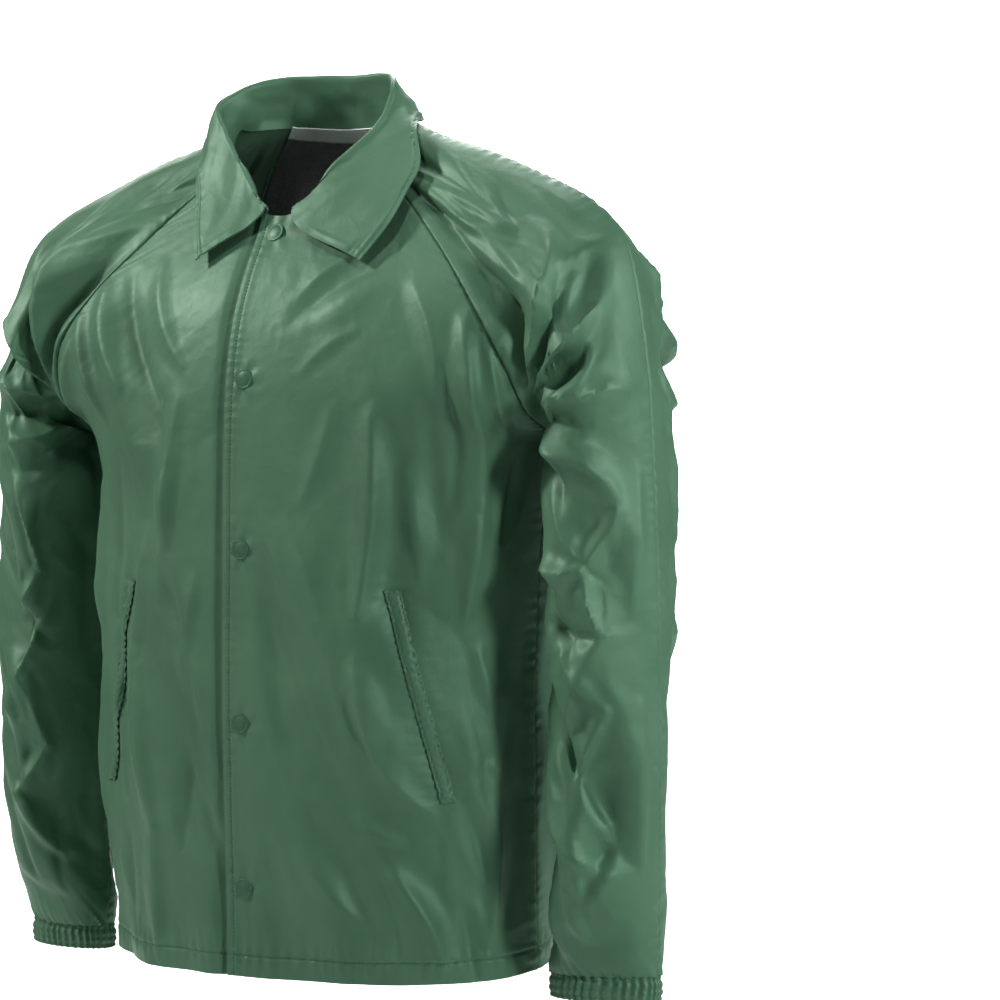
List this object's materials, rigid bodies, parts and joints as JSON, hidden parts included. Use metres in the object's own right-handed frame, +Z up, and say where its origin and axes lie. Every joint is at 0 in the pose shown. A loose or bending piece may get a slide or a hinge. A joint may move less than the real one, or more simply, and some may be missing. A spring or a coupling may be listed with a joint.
{
  "type": "coach jacket",
  "caption": "Light nylon coach jacket as worn but empty: point collar, raglan sleeves with gathered elastic cuffs, snap front and slanted welt pockets.",
  "frame": {"origin": "middle of the neck opening at shoulder height, where the wearer's shoulders carry the jacket", "axes": "+Z up along the body, +Y out of the wearer's back (the snap front faces -Y), +X towards the wearer's left arm"},
  "size_m": [0.708, 0.2795, 0.8169],
  "materials": {
    "shell_nylon": "satin nylon taffeta, crisp, with small creases",
    "lining_flannel": "matt brushed flannel",
    "snap_caps": "glossy enamel"
  },
  "bodies": {
    "root": {"front_left": "shell_nylon", "front_right": "shell_nylon", "back": "shell_nylon", "sleeve_front_left": "shell_nylon", "sleeve_back_left": "shell_nylon", "sleeve_front_right": "shell_nylon", "sleeve_back_right": "shell_nylon", "collar": "shell_nylon", "cuff_left": "shell_nylon", "cuff_right": "shell_nylon", "welt_left": "shell_nylon", "welt_right": "shell_nylon", "lining_back": "lining_flannel", "snap_1": "snap_caps", "snap_2": "snap_caps", "snap_3": "snap_caps", "snap_4": "snap_caps", "snap_5": "snap_caps"}
  },
  "joints": []
}
